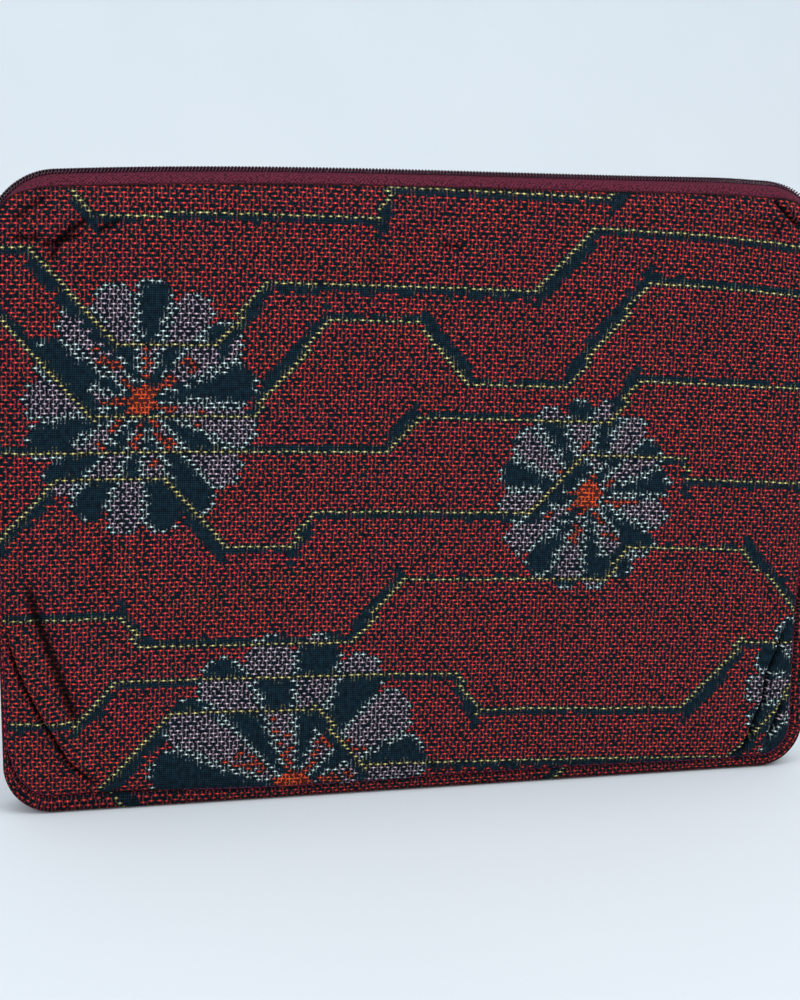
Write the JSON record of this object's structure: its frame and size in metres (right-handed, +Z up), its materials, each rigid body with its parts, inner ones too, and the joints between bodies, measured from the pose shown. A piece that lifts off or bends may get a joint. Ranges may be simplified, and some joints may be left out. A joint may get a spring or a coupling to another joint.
{
  "type": "laptop sleeve",
  "caption": "Padded fabric laptop sleeve with a wraparound zip over the top and down both sides, a flat gusset base and a front panel that folds forward to open.",
  "frame": {"origin": "middle of the flat gusset base that the sleeve stands on", "axes": "+X across the width to the right, seen from the front; +Y through the thickness, from the front panel to the back panel; +Z up to the zip"},
  "size_m": [0.3395, 0.024, 0.25],
  "materials": {
    "kasuri_fabric": "slubby woven silk and cotton with red, navy and yellow marks",
    "foam_padding": "soft grey needled foam",
    "lining_fabric": "plain smooth navy cloth",
    "zip_tape": "burgundy herringbone tape",
    "zip_coil": "satin plum nylon coil",
    "zip_metal": "darkened nickel plate, lightly worn"
  },
  "bodies": {
    "root": {"back_panel": "kasuri_fabric", "back_padding": "foam_padding", "back_lining": "lining_fabric", "front_panel_lower": "kasuri_fabric", "front_padding_lower": "foam_padding", "front_lining_lower": "lining_fabric", "gusset": "kasuri_fabric", "gusset_lining": "lining_fabric", "rear_zip_tape": "zip_tape", "rear_zip_coil": "zip_coil", "front_zip_tape_ends": "zip_tape", "front_zip_coil_ends": "zip_coil", "zip_bottom_stop": "zip_metal", "zip_top_stops": "zip_metal"},
    "flap": {"front_panel_upper": "kasuri_fabric", "front_padding_upper": "foam_padding", "front_lining_upper": "lining_fabric", "front_zip_tape": "zip_tape", "front_zip_coil": "zip_coil"},
    "slider": {"slider_body": "zip_metal", "slider_bridge": "zip_metal", "lock_spring": "zip_metal"},
    "pull": {"pull_tab": "zip_metal"}
  },
  "joints": [
    {"name": "flap_fold", "type": "hinge", "parent": "root", "child": "flap", "pos_m": [0, -0.012, 0.13], "axis": [1, 0, 0], "range_deg": [0, 60]},
    {"name": "zip_slide", "type": "slide", "parent": "root", "child": "slider", "axis": [0, 0, 1], "range_m": [0, 0.1]},
    {"name": "pull_swing", "type": "hinge", "parent": "slider", "child": "pull", "pos_m": [0.1697, 0, 0.1136], "axis": [0, -1, 0], "range_deg": [0, 170]}
  ]
}
